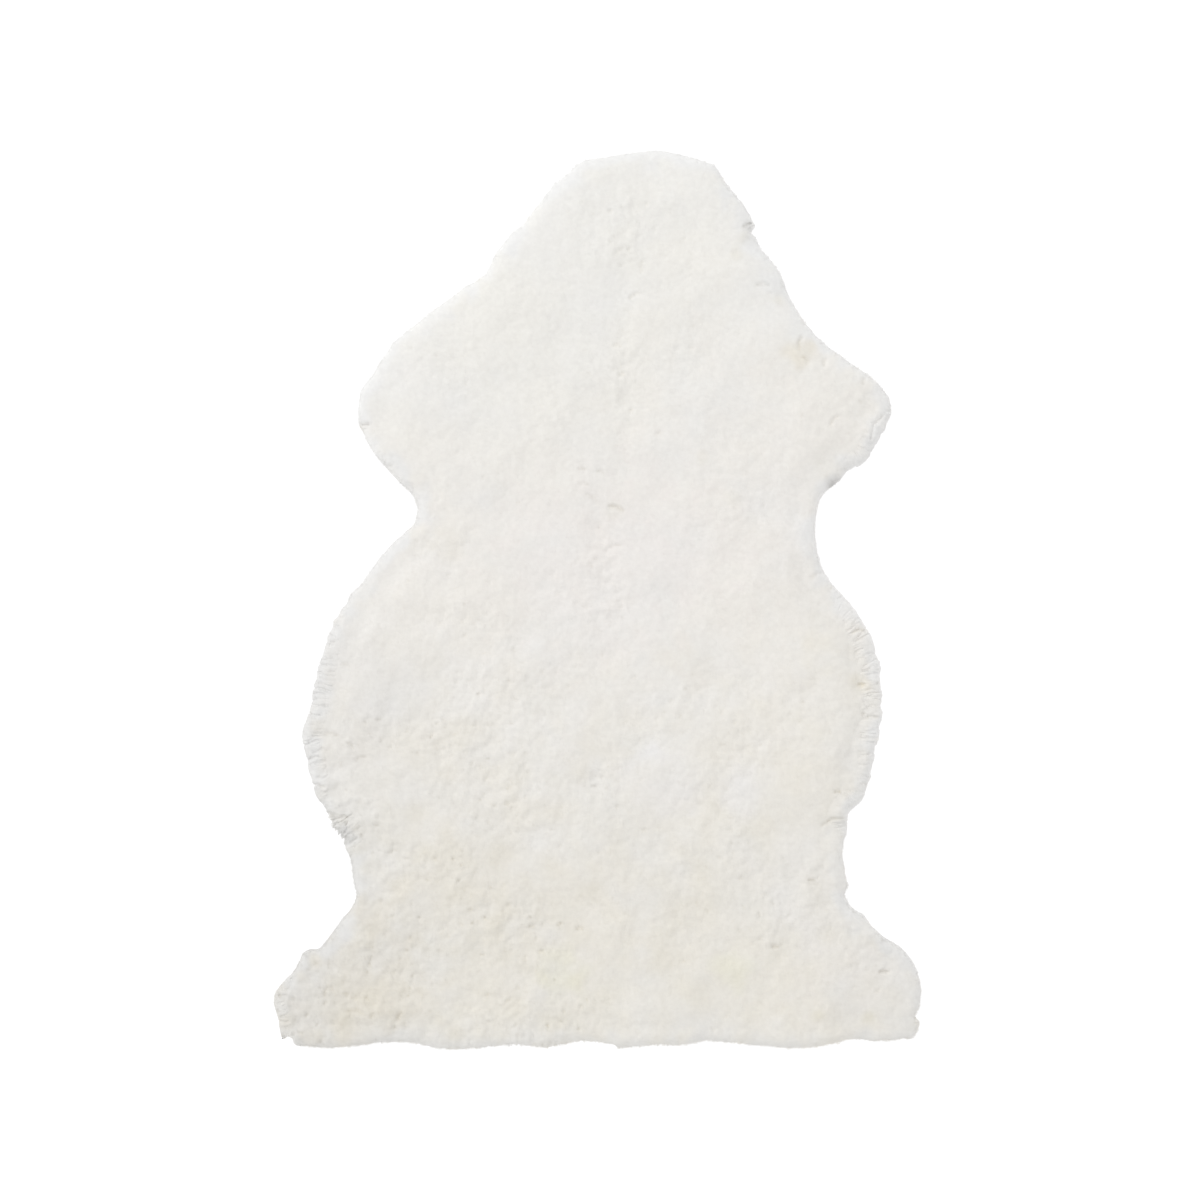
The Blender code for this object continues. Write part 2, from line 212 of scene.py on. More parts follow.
# Where the edge of the wool stands out past the solid's outline, or in from it.
EDGE_OUTSET = 0.0011
RUMP_OUTSET = 0.0005
RUMP_EDGE = -0.440, -0.420  # it goes from the rump's outset to the other between these, up the rug
SWELLS = {  # x, y, radius and how far out, of each
    "neck, top right": [(0.066, 0.448, 0.014, 0.001)],
    "hooked lock and notch by the neck": [
        (0.15, 0.378, 0.02, 0.0032), (0.156, 0.375, 0.004, 0.0024), (0.153, 0.368, 0.004, -0.0042),
    ],
    "right shoulder": [(0.181, 0.322, 0.026, 0.0026)],
    "right foreleg": [
        (0.212, 0.268, 0.028, 0.0016), (0.243, 0.244, 0.008, 0.0011), (0.24, 0.12, 0.018, 0.0012),
    ],
    "right flank": [(0.279, -0.153, 0.012, -0.0017)],
    "right thigh": [
        (0.25, -0.285, 0.004, 0.0022), (0.2466, -0.296, 0.003, -0.002), (0.264, -0.32, 0.018, 0.0017),
    ],
    "right hock": [
        (0.266, -0.316, 0.007, 0.003), (0.2715, -0.329, 0.004, -0.0018), (0.299, -0.35, 0.018, 0.0022),
    ],
    "right sole": [
        (0.323, -0.404, 0.007, 0.001), (0.315, -0.434, 0.012, 0.0019), (0.3185, -0.4165, 0.004, -0.0038),
        (0.3225, -0.425, 0.005, 0.002), (0.3055, -0.441, 0.004, -0.0034), (0.271, -0.4415, 0.01, 0.0011),
    ],
    "rump": [
        (0.088, -0.4455, 0.01, 0.0009), (0.063, -0.448, 0.016, -0.0015), (0.0135, -0.447, 0.004, -0.0026),
        (-0.052, -0.447, 0.01, 0.0014), (-0.034, -0.443, 0.005, 0.001), (-0.1, -0.448, 0.012, -0.0014),
        (-0.15, -0.45, 0.012, 0.0009),
    ],
    "left sole": [
        (-0.297, -0.446, 0.009, 0.0011), (-0.318, -0.441, 0.005, 0.0042), (-0.309, -0.44, 0.004, -0.0085),
    ],
    "left hock": [
        (-0.303, -0.368, 0.014, -0.0028), (-0.291, -0.351, 0.008, 0.003), (-0.279, -0.348, 0.005, -0.0014),
    ],
    "left thigh": [(-0.255, -0.322, 0.02, 0.0018), (-0.243, -0.277, 0.016, 0.0012)],
    "left flank": [
        (-0.262, -0.229, 0.009, 0.0018), (-0.275, -0.208, 0.013, -0.003), (-0.245, 0.005, 0.012, 0.0011),
    ],
    "left waist": [
        (-0.206, 0.053, 0.018, 0.0016), (-0.196, 0.065, 0.004, -0.002), (-0.227, 0.152, 0.009, 0.001),
        (-0.238, 0.176, 0.005, 0.0016),
    ],
    "left foreleg and shoulder": [
        (-0.22, 0.228, 0.02, 0.0022), (-0.201, 0.258, 0.008, 0.0015), (-0.172, 0.28, 0.022, 0.0018),
    ],
    "left of the neck": [(-0.126, 0.314, 0.014, 0.0013)],
    "wisps of the neck": [
        (0.1174, 0.4369, 0.004, 0.0022), (-0.0135, 0.4374, 0.004, 0.0022), (-0.0431, 0.4154, 0.004, 0.0022),
        (-0.0848, 0.3661, 0.004, 0.0022),
    ],
    "neck, top left": [(-0.047, 0.408, 0.018, 0.0014), (-0.016, 0.433, 0.012, 0.0028)],
}

# Strips of long wool along the rim, meshed finely and parted into locks by furrows that run outwards.
STRIP_STEP = 0.0006  # along the rim
STRIP_ROWS = 18
STRIP_END, STRIP_FULL = 0.03, 0.13  # the wool's length where a strip ends, and where it is fully raised
STRIP_REACH = 0.007, 0.036  # in from the rim where the wool is short, and where it is longest
STRIP_INSET = 0.0006  # from the rim in to its edge
STRIP_STRINGY_INSET = 0.7 * STRINGY_INSET  # and this much further in where it hangs in strings
STRIP_WAVE = 0.0004  # noise moves its edge by up to about this
STRIP_SUNK = 0.0015  # its inner edge and its ends lie this far inside the fleece
STRIP_BED = 0.0012  # and the fleece lies this far under the rest
BED_REACH = 0.75  # the bed's share of the strip's reach
BED_SLOPE = 0.003
NOTCH_DEPTH = 0.0022  # of the deepest furrow, into the strip's edge
NOTCH_INSET = 0.001  # its depth is read this far in from the edge
FURROW_PITCH = 0.0014  # along the rim
FURROW_WIDTH = 0.0009
FURROW_DEPTH = 0.0021
FURROW_LENGTH = 0.005, 0.018  # where the wool is short, and where it is longest
FURROW_START = -0.006, 0.022  # in from the rim
FURROW_SWAY = 0.0014  # at each step
FURROW_SWEEP = 0.003  # along the rim, where the wool is longest
FURROW_STEPS = 4

# The strands.
STRAND_SECTION = np.array([(0, 0.16), (0.5, -0.2), (-0.5, -0.2)])  # across and up
STRANDS_IN_TUFT = 2.4  # on average
STRAND_WIDTH = 0.00048
STRAND_RISE = 0.00009
STRAND_LIFT = np.array([-1.2, 0.2, 0.5, 0.7, 0.8])  # from its root to its tip, in rises
STRAND_LIFTS = np.array([0, 0.2, 0.4, 0.6, 0.8])  # and how far that varies
STRAND_LOWEST = 0.0009
STRAND_INSET = 0.0012  # from the tips of the wool
STRAND_SCATTER = 0.0006
TUFT_INSET = 0.004  # no tuft has its middle closer to the rim
COMBED_WIDTH = 0.045  # within this of the rim the wool turns outwards

# The strands of the rim. Their paths bend and rise at random, and sweep along the rim where the wool is long.
PATH_STEPS = 6
PATH_BEND, PATH_RISE = 0.0006, 0.0001
PATH_LOWEST = 0.0007
RIM_STRANDS = 6500
RIM_STRAND_WIDTH = 0.0006
RIM_SHELL = 0.001  # the outermost strands run this far outside the fleece
RIM_TUCK = 0.0009  # and the lowest end this much further in
RIM_ROOTS = 0.004, 0.010  # in from the rim
RIM_ROOT_DEPTH = 0.001
RIM_ENDS = -0.001, 0.0006  # out from the rim
RIM_SCATTER = 0.0004
RIM_SWAY, RIM_SWEEP = 0.0008, 0.003
RIM_LOCK_ENDS = -0.002, 0.0008  # where the wool is longest
STRAY_SHARE = 0.02  # of the rim's strands, which end past the rest
STRAY_REACH = 0.0026

# Locks that hang in strings, where the wool is longer than STRINGY.
STRINGY = 0.80
LOCK_PITCH = 0.0036
LOCK_WIDTH = 0.0034
LOCK_RIDGE = 0.0005  # a lock's middle stands this much over its sides
LOCK_LIFT = np.array([-0.9, 0.5, 1, 1, 0.8, 0.4])  # from its root to its tip, in ridges
LOCK_STRANDS = 14
LOCK_STRAND_WIDTH = 0.0008
LOCK_LOWEST = 0.0008
LOCK_SHELL = 0.0004
LOCK_REACH = 0.006, 0.026  # in from the rim where the wool is short, and where it is longest
LOCK_ENDS = -0.0032, 0.0006  # out from the rim
LOCK_SWAY, LOCK_SWEEP = 0.0012, 0.004
LOCK_STRAND_ENDS = -0.0008, 0.0004  # out from the end of its lock

# The colour of the wool by its place along the rug, for light from all sides.
TONES = [  # y, red, green, blue
    (0.42, 0.945, 0.93, 0.89),
    (0.2, 0.937, 0.917, 0.873),
    (0.05, 0.932, 0.907, 0.867),
    (-0.13, 0.912, 0.885, 0.831),
    (-0.29, 0.879, 0.85, 0.788),
    (-0.44, 0.878, 0.849, 0.782),
]

# Places where the wool is whiter, stained or duller, and a few where shade is painted in as a darker colour:
# what each adds to the colour at its middle, in thousandths.
PATCHES = [  # name, x, y, radius, red, green, blue
    ("stained shoulder", 0.203, 0.247, 0.022, -30, -48, -85),
    # painted shade in the notch under the hooked lock
    ("painted shade under the hooked lock", 0.1495, 0.3725, 0.006, -90, -85, -85),
    ("brown spot by the neck", 0.15, 0.36, 0.013, -48, -58, -88),
    ("brown spot by the neck, low", 0.139, 0.346, 0.01, -34, -40, -58),
    ("white left shoulder", -0.1, 0.26, 0.16, 1, 4, 6),
    ("dull right shoulder", 0.17, 0.13, 0.19, -3, -6, -4),
    ("stained whorl", 0.0156, 0.0905, 0.012, -18, -14, -28),
    ("brown spot by the spine", 0.104, 0.141, 0.01, -10, -15, -30),
    ("brown spot by the spine, low", 0.134, 0.102, 0.014, -14, -15, -26),
    ("stained edge under the neck", 0.177, 0.305, 0.012, -26, -32, -55),
    ("pinkish back", 0.01, 0.03, 0.15, 2, -4, 4),
    ("dull left waist", -0.145, 0.058, 0.024, -14, -16, -26),
    ("dull left waist, edge", -0.176, 0.056, 0.024, -16, -18, -26),
    ("dull right waist", 0.213, 0.015, 0.05, -20, -18, -18),
    # painted shade along the right foreleg's lower edge, which faces away from the light
    ("painted shade on the right foreleg's lower edge", 0.235, 0.13, 0.035, -22, -18, -20),
    ("brown loin, right", 0.077, -0.051, 0.03, -10, -12, -22),
    ("dull right waist, low", 0.223, -0.021, 0.02, -18, -18, -24),
    # painted shade in the crease where the right flank curls under
    ("painted shade in the crease under the right flank", 0.24, -0.219, 0.009, -26, -24, -24),
    ("dull right flank", 0.223, -0.05, 0.035, -10, -14, -30),
    ("stained pit of the right flank", 0.262, -0.083, 0.014, -14, -20, -40),
    ("dull right flank, low", 0.235, -0.12, 0.07, -5, -4, -3),
    ("dull left flank", -0.262, -0.1, 0.125, -38, -35, -25),
    ("dull foot of the left flank", -0.262, -0.235, 0.07, -34, -30, -26),
    # painted shade: the dark gap under the right foreleg's edge
    ("painted shade under the right foreleg", 0.234, 0.116, 0.012, -200, -210, -220),
    ("white loin", 0.063, -0.186, 0.06, 0, 6, 30),
    ("white loin, high", 0.038, -0.141, 0.026, 2, 10, 22),
    ("white loin, low", 0.053, -0.251, 0.03, 5, 9, 15),
    ("white right loin", 0.143, -0.191, 0.035, 6, 12, 36),
    ("yellowed rump", -0.0376, -0.3737, 0.034, -12, -7, -38),
    ("yellowed rump, right", 0.133, -0.367, 0.028, -10, -5, -36),
    ("stained right hind leg", 0.269, -0.415, 0.01, -32, -36, -62),
    ("stained right hind leg, left", 0.218, -0.413, 0.01, -28, -32, -55),
    ("dull left thigh", -0.15, -0.3, 0.11, -18, -20, -26),
    ("dull edge of the left thigh", -0.262, -0.3, 0.035, -14, -14, -12),
    ("pale edge of the rump", 0.11, -0.475, 0.06, 26, 22, 20),
    ("dull left hind leg", -0.27, -0.4, 0.13, -53, -58, -64),
    ("white right hind leg", 0.255, -0.38, 0.08, 3, 1, 7),
    ("pale right thigh", 0.2, -0.31, 0.09, 10, 14, 28),
    ("pale edge of the right thigh", 0.268, -0.23, 0.05, 2, 10, 26),
]

# Changes of colour: how far in from the rim each reaches, and the two values of y that it comes in between.
SHADED_RIM, SHADED_FROM = 0.012, (0.14, 0.06)  # darker on the left, and paler on the right and at the foot
WHITE_RIM = 0.045
COOL_RIM, COOL_LESS_FROM = 0.020, (-0.36, -0.42)  # the very edge is greyer, by half as much at the rump
COOL = np.array([0.999, 1, 0.999])
BROWN = np.array([0.007, 0.009, 0.016])  # what brown flecks take off the colour
BROWN_FROM = 0.05, -0.15
HOLE_SHADE = np.array([0.020, 0.025, 0.034])  # what a pit takes off the colour


# ---- The plan: where the wool ends, and how high it stands. ----


def read(items, name, kind, width=1):
    """One property of a mesh's points, corners or triangles, in rows of this width."""
    found = np.empty(len(items) * width, kind)
    items.foreach_get(name, found)
    return found.reshape(-1, width)


def merged_triangles(node):
    """The node's points, to a micron and with those at one place made one, and its triangles."""
    mesh = node.data
    mesh.calc_loop_triangles()
    points = read(mesh.vertices, "co", np.float32, 3).astype(float).round(6)
    points, index = np.unique(points, axis=0, return_inverse=True)
    return points, index.reshape(-1)[read(mesh.loop_triangles, "vertices", np.int32, 3)]


def open_edges(triangles):
    """The directed edges that only one triangle has."""
    edges = triangles[:, [0, 1, 1, 2, 2, 0]].reshape(-1, 2)
    _, first, count = np.unique(np.sort(edges, axis=1), axis=0, return_index=True, return_counts=True)
    return edges[first[count == 1]]


def longest_loop(edges):
    """The vertex numbers of the longest closed chain of directed edges."""
    after = dict(edges.tolist())
    loops = []
    while after:
        start, following = after.popitem()
        loop = [start]
        while following != start:
            loop.append(following)
            following = after.pop(following)
        loops.append(loop)
    return np.array(max(loops, key=len))


def wool_tips(points, triangles):
    """The tips of the solid's rim locks, in order round the floor, as plan points."""
    floor = (points[triangles][:, :, 2] < ON_FLOOR).all(axis=1)
    loop = points[longest_loop(open_edges(triangles[floor]))][:, :2]
    back, ahead = np.roll(loop, 1, axis=0) - loop, np.roll(loop, -1, axis=0) - loop
    turn = (unit(back) * unit(ahead)).sum(axis=1)
    cross = ahead[:, 0] * back[:, 1] - ahead[:, 1] * back[:, 0]
    area = (loop[:, 0] * np.roll(loop[:, 1], -1) - np.roll(loop[:, 0], -1) * loop[:, 1]).sum()
    tips = loop[(np.arccos(turn.clip(-1, 1)) < TIP_ANGLE) & (cross * area > 0)]
    return tips if area > 0 else tips[::-1]


def distance(places, point):
    return np.linalg.norm(places - point, axis=1)


def distance_to_route(places, route):
    start, run = route[:-1], np.diff(route, axis=0)
    offset = places[:, None] - start
    share = ((offset * run).sum(axis=2) / (run**2).sum(axis=1)).clip(0, 1)
    return np.linalg.norm(offset - share[..., None] * run, axis=2).min(axis=1)


def signed_distance(places, loop):
    """How far inside a closed loop each place is, less than nothing outside it."""
    route = np.concatenate([loop, loop[:1]])
    run = np.diff(route, axis=0)
    rise = np.where(run[:, 1] == 0, 1, run[:, 1])
    found = []
    for part in np.array_split(places, len(places) // PLACES_AT_ONCE + 1):
        x, y = part.T[..., None]
        above = loop[:, 1] > y
        crossing = loop[:, 0] + (y - loop[:, 1]) / rise * run[:, 0] > x
        inside = ((above != np.roll(above, -1, axis=1)) & crossing).sum(axis=1) % 2 == 1
        away = distance_to_route(part, route)
        found.append(np.where(inside, away, -away))
    return np.concatenate(found)


def fade(values):
    """A smooth step from 0 to 1."""
    values = values.clip(0, 1)
    return values**2 * (3 - 2 * values)


def ramp(values, ends):
    """A smooth step from 0 at the first end to 1 at the last."""
    return fade((values - ends[0]) / (ends[1] - ends[0]))


def near(away, reach, gain=1):
    """From 1 where away is nothing to 0 at reach. A gain over 1 keeps it at 1 for longer."""
    return fade(gain * (1 - away / reach))


def between(share, ends):
    """The value this share of the way from the first end to the last."""
    return ends[0] + (ends[1] - ends[0]) * share


def unit(vectors):
    return vectors / np.maximum(np.linalg.norm(vectors, axis=1), 1e-9)[:, None]


def ways(angles):
    """Unit vectors in plan."""
    return np.stack([np.cos(angles), np.sin(angles)], axis=1)


def pairs(xs, ys):
    """Every pair of an x and a y."""
    return np.stack(np.meshgrid(xs, ys, indexing="ij"), axis=-1).reshape(-1, 2)


def blurred(values, width):
    """Values on the grid, evened out by a Gaussian of this width in metres."""
    reach = int(3 * width / GRID_STEP)
    weights = np.exp(-((np.arange(-reach, reach + 1) * GRID_STEP / width) ** 2) / 2)
    weights /= weights.sum()
    for axis in (0, 1):
        padded = np.pad(values, [(reach, reach) if k == axis else (0, 0) for k in (0, 1)], mode="edge")
        length = values.shape[axis]
        values = sum(w * np.take(padded, range(k, k + length), axis) for k, w in enumerate(weights))
    return values


def blended(values, low, high, share):
    """Values on a grid, read this share of the way from the low corners of some cells to the high ones."""
    (i, j), (ahead, above), (u, v) = low.T, high.T, share.T
    lower = values[i, j] * (1 - u) + values[ahead, j] * u
    upper = values[i, above] * (1 - u) + values[ahead, above] * u
    return lower * (1 - v) + upper * v


class Field:
    """Values on the plan's grid, read anywhere between its points."""

    LAST = 1.001  # places stop just short of the last point, so that their cells are all on the grid

    def __init__(self, low, values):
        self.low, self.values = low, values

    def at(self, places):
        place = ((places - self.low) / GRID_STEP).clip(0, np.array(self.values.shape) - self.LAST)
        cell = place.astype(int)
        return blended(self.values, cell, cell + 1, place - cell)

    def slope(self, places, step):
        """The field's gradient in plan."""
        rise = [self.at(places + way) - self.at(places - way) for way in step * np.eye(2)]
        return np.stack(rise, axis=1) / (2 * step)


class Noise:
    """Smooth seeded noise over the plan, from about -1 to 1, with bumps about size across."""

    SIDE = 256
    TURN = np.array([[0.8, -0.6], [0.6, 0.8]])  # of the second layer against the first
    FINER = 1.3

    def __init__(self, seed, size):
        self.layers = np.random.default_rng(seed).uniform(-1, 1, (2, self.SIDE, self.SIDE))
        self.size = size

    def layer(self, number, places):
        place = places / self.size
        cell = np.floor(place).astype(int)
        return blended(self.layers[number], cell % self.SIDE, (cell + 1) % self.SIDE, fade(place - cell))

    def at(self, places):
        return self.layer(0, places) + self.layer(1, places @ self.TURN * self.FINER)


class Scatter:
    """Seeded points over the plan, one in each square of a lattice, each with a chance number."""

    SIDE = 256
    JITTER = 0.42
    FAR = 9  # further than any point

    def __init__(self, seed, size):
        draw = np.random.default_rng(seed)
        self.shift = 0.5 + draw.uniform(-self.JITTER, self.JITTER, (self.SIDE, self.SIDE, 2))
        self.chance = draw.uniform(0, 1, (self.SIDE, self.SIDE))
        self.size = size

    def point(self, cell):
        """The points in these cells, and their chance numbers."""
        i, j = (cell % self.SIDE).T
        return (cell + self.shift[i, j]) * self.size, self.chance[i, j]

    def points(self, low, high):
        """The points between two corners."""
        first, last = np.floor(low / self.size).astype(int), np.ceil(high / self.size).astype(int)
        return self.point(pairs(*(np.arange(first[k], last[k]) for k in (0, 1))))[0]

    def nearest(self, places, wanted=1):
        """The distance to the nearest point whose chance is less than wanted, and that chance."""
        base = np.floor(places / self.size).astype(int)
        best, found = np.full(len(places), float(self.FAR)), np.zeros(len(places))
        for step in np.ndindex(3, 3):
            point, chance = self.point(base + np.array(step) - 1)
            away = np.where(chance < wanted, distance(places, point), self.FAR)
            found = np.where(away < best, chance, found)
            best = np.minimum(best, away)
        return best, found


def marked(x, y, length, turn, depth):
    """A mark as a furrow: its route in plan, its depth and its width."""
    middle, way = np.array([x, y]), ways([radians(turn)])[0] * length / 2
    bend = way[::-1] * (-MARK_BEND, MARK_BEND)
    return np.array([middle - way, middle + bend, middle + way]), depth, MARK_WIDTH


def cut_depth(places, furrows):
    """How deep the furrows are at each place."""
    found = np.zeros(len(places))
    for route, depth, width in furrows:
        reach = np.linalg.norm(route[-1] - route[0]) / 2 + 2 * width
        away = distance(places, route.mean(axis=0))
        close = away < reach
        across = distance_to_route(places[close], route) / width
        cut = depth * near(away[close], reach, 2) * np.exp(-(across**2))
        found[close] = np.maximum(found[close], cut)
    return found


class Surface:
    """The topmost height of some meshes, read from above."""

    def __init__(self, pieces):
        points, triangles = [], []
        for piece in pieces:
            own_points, own_triangles = merged_triangles(piece)
            triangles += (own_triangles + len(points)).tolist()
            points += own_points.tolist()
        self.tree = BVHTree.FromPolygons(points, triangles)

    def at(self, places):
        down = Vector((0, 0, -1))
        hits = (self.tree.ray_cast(Vector((x, y, RAY_HEIGHT)), down)[0] for x, y in places.tolist())
        return np.array([hit.z if hit else 0.0 for hit in hits])


class Rim:
    """The closed line through the tips of the wool, read by the distance along it."""

    def __init__(self, tips):
        self.route = np.concatenate([tips, tips[:1]])
        runs = np.linalg.norm(np.diff(self.route, axis=0), axis=1)
        self.before = np.concatenate([[0], np.cumsum(runs)])
        self.length = self.before[-1]

    def at(self, along):
        return np.stack([np.interp(along % self.length, self.before, line) for line in self.route.T], axis=1)


class Pelt:
    """The rug's plan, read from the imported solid, and the height of its wool."""

    def __init__(self, node):
        points, triangles = merged_triangles(node)
        tips = wool_tips(points, triangles)
        self.rim = Rim(tips)
        self.low = points[:, :2].min(axis=0) - GRID_MARGIN
        self.high = points[:, :2].max(axis=0) + GRID_MARGIN
        count = ((self.high - self.low) / GRID_STEP).astype(int) + 2
        places = pairs(*(self.low[k] + GRID_STEP * np.arange(count[k]) for k in (0, 1)))
        inside = signed_distance(places, tips) + self.swell(places)
        self.inside = Field(self.low, inside.reshape(count))
        top = Field(self.low, blurred(Surface([node]).at(places).reshape(count), SMOOTHING))
        inwards = (SOLID_ROLL - self.inside.at(places)).clip(0, None)
        crown = top.at(places - self.outward(places) * inwards[:, None])
        self.crown = Field(self.low, blurred(crown.reshape(count), SMOOTHING))

        self.noises = {name: Noise(*seed_and_size) for name, seed_and_size in NOISES.items()}
        self.tufts, self.pits = Scatter(TUFT_SEED, TUFT_PITCH), Scatter(PIT_SEED, PIT_PITCH)
        self.marks = [marked(*mark) for mark in sum(MARKS.values(), [])]
        self.furrows = self.make_furrows(np.random.default_rng(FURROW_SEED))

    def noise(self, name, places):
        return self.noises[name].at(places)

    def shifted(self, places, name, most):
        """The places, moved by the two noises of this name."""
        return places + most * np.stack([self.noise(f"{name}, {axis}", places) for axis in "xy"], axis=1)

    def swell(self, places):
        """How far the edge of the wool near each place stands out past the solid's outline."""
        found = between(ramp(places[:, 1], RUMP_EDGE), (RUMP_OUTSET, EDGE_OUTSET))
        for x, y, radius, out in sum(SWELLS.values(), []):
            found += out * np.exp(-((distance(places, (x, y)) / radius) ** 2))
        return found

    def edge(self, along):
        """Places on the edge of the wool, by the distance along the rim."""
        found = self.rim.at(along)
        return found + self.outward(found) * self.swell(found)[:, None]

    def outward(self, places):
        return unit(-self.inside.slope(places, 3 * GRID_STEP))

    def long_wool(self, places):
        """From 0, short wool, to 1, the longest."""
        found = np.zeros(len(places))
        for _, x, y, radius, length in LONG_WOOL:
            found = np.maximum(found, length * near(distance(places, (x, y)), radius, 1.6))
        return found

    def liveliness(self, places):
        """How tufted the wool is, up to about 1: least on the neck, most low on the left and on the spine."""
        x, y = places.T
        left, by_rim = ramp(x, LEFT_SIDE), near(self.inside.at(places), BY_RIM, 1.4)
        found = 0.38 + ramp(y, LOW_DOWN) * (0.20 + 0.20 * left + (0.10 + 0.18 * left) * by_rim)
        found += 0.30 * near(distance_to_route(places, SPINE), SPINE_WIDTH, 1.5)
        found -= 0.20 * ramp(y, RUMP_LOW) * ramp(x, RUMP_RIGHT)
        return (found * (1 + 0.45 * self.noise("unrest", places)).clip(0.3, None)).clip(None, 1.05)

    def height(self, places, further=0):
        """The height of the wool's body. further moves the roll of the rim outwards."""
        roll = between(ramp(places[:, 1], SHOULDERS), (RIM_ROLL, NECK_ROLL))
        depth = 1 - ((self.inside.at(places) + further) / roll).clip(0, 1)
        return self.crown.at(places) * (1 - depth**RIM_SQUARENESS) ** (1 / RIM_SQUARENESS)

    def holes(self, places, lively):
        """How deep the pits between the tufts and the marks are."""
        wanted = (0.5 * (lively - 0.32)).clip(0.02, 0.42)
        away, _ = self.pits.nearest(self.shifted(places, "pit shift", PIT_SHIFT), wanted)
        pits = PIT_DEPTH * between(lively, (0.3, 1)) * np.exp(-((away / PIT_RADIUS) ** 2))
        return np.maximum(pits, cut_depth(places, self.marks))

    def make_furrows(self, draw):
        """The furrows that part the long wool into locks."""
        along = np.arange(0, self.rim.length, FURROW_PITCH)
        long = self.long_wool(self.edge(along))
        along, long = along[long > STRIP_END], long[long > STRIP_END]
        count = len(along)
        along += draw.uniform(-0.5, 0.5, count) * FURROW_PITCH
        shares = np.linspace(0, 1, FURROW_STEPS)
        length = between(long, FURROW_LENGTH) * draw.uniform(0.4, 1.6, count)
        start = draw.uniform(*FURROW_START, count) * between(long, (0.4, 1))
        sway = draw.normal(0, FURROW_SWAY, (count, FURROW_STEPS)).cumsum(axis=1)
        sway -= FURROW_SWEEP * long[:, None] * shares
        places = self.edge((along[:, None] + sway).ravel())
        routes = places - self.outward(places) * (start[:, None] + length[:, None] * shares).reshape(-1, 1)
        depths = FURROW_DEPTH * draw.uniform(0.1, 1, count) ** 2.2 * between(long, (0.35, 1))
        widths = FURROW_WIDTH * draw.uniform(0.7, 1.4, count)
        return list(zip(routes.reshape(count, FURROW_STEPS, 2), depths, widths))

    def tufted(self, places, further=0):
        """The height of the fleece's tufted top."""
        lively = self.liveliness(places)
        away, chance = self.tufts.nearest(self.shifted(places, "tuft shift", TUFT_SHIFT))
        relief = TUFT_STEP * (2 * chance - 1) - 2 * TUFT_DOME * (away / TUFT_PITCH) ** 2
        relief += CLUMP_HEIGHT * self.noise("clumps", places) + CURL_HEIGHT * self.noise("curls", places)
        return self.height(places, further) - FLEECE_DEPTH + relief * lively - self.holes(places, lively)

    def bed(self, places):
        """How far the fleece lies under the strips of long wool."""
        inside = self.inside.at(places)
        long = self.long_wool(places + self.outward(places) * inside[:, None])
        edge = BED_REACH * between(long, STRIP_REACH) - inside
        return STRIP_BED * ramp(long, (STRIP_END, STRIP_FULL)) * fade(edge / BED_SLOPE)


# ---- Meshes. ----


def add_object(name, points, faces):
    mesh = bpy.data.meshes.new(name)
    mesh.from_pydata(points.tolist(), [], faces)
    mesh.shade_smooth()
    found = bpy.data.objects.new(name, mesh)
    bpy.context.scene.collection.objects.link(found)
    return found


def add_wool(name, points, faces, pelt):
    """A piece of wool with its colour at each point, and a UV map that looks straight down on the rug."""
    piece = add_object(name, points, faces)
    mesh = piece.data
    plan = points[:, :2].astype(np.float32).astype(float)
    corners = read(mesh.loops, "vertex_index", np.int32)[:, 0]
    places = (plan[corners] - pelt.low) / (pelt.high - pelt.low).max()
    mesh.uv_layers.new(name="OFBake").uv.foreach_set("vector", places.astype(np.float32).ravel())
    tint = np.column_stack([wool_tint(pelt, plan), np.ones(len(plan))]).astype(np.float32)
    mesh.attributes.new("tint", "FLOAT_COLOR", "POINT").data.foreach_set("color", tint.ravel())
    return piece


def faces_between(*corners):
    """Faces from arrays that each hold one corner of every face."""
    return np.stack(corners, axis=-1).reshape(-1, len(corners))


def plan_mesh(pelt, inset, spacing):
    """A triangle mesh in plan of the pelt's outline, brought in by inset: its places, triangles and rim."""
    row_height = spacing * sqrt(3) / 2
    columns, rows = ((pelt.high - pelt.low) / (spacing, row_height)).astype(int) + 2
    column, row = np.meshgrid(np.arange(columns), np.arange(rows), indexing="ij")
    places = np.stack([spacing * (column + 0.5 * (row % 2)), row_height * row], axis=-1)
    places = places.reshape(-1, 2) + pelt.low
    number = column * rows + row
    a, b = number[:-1, :-1], number[1:, :-1]
    c, d = number[:-1, 1:], number[1:, 1:]
    shifted = row[:-1, :-1] % 2 == 1
    lower = faces_between(a, b, np.where(shifted, d, c))
    triangles = np.concatenate([lower, faces_between(np.where(shifted, a, b), d, c)])
    depth = pelt.inside.at(places) - inset(places)
    triangles = triangles[(depth[triangles] > -0.45 * spacing).all(axis=1)]
    used, triangles = np.unique(triangles, return_inverse=True)
    places, depth, triangles = places[used], depth[used], triangles.reshape(-1, 3)
    rim = longest_loop(open_edges(triangles))
    places[rim] += pelt.outward(places[rim]) * depth[rim, None]
    return places, triangles, rim


def make_hide(pelt):
    """The tanned skin, a thin closed sheet whose flat underside lies on the floor."""
    places, triangles, rim = plan_mesh(pelt, lambda _: HIDE_INSET, HIDE_SPACING)
    count = len(places)
    under = np.column_stack([places, np.zeros(count)])
    over = np.column_stack([places, np.full(count, HIDE_THICKNESS)])
    ahead = np.roll(rim, -1)
    wall = [faces_between(rim, ahead, rim + count), faces_between(ahead, ahead + count, rim + count)]
    faces = np.concatenate([triangles[:, ::-1], triangles + count, *wall])
    return add_object("hide", np.concatenate([under, over]), faces.tolist())


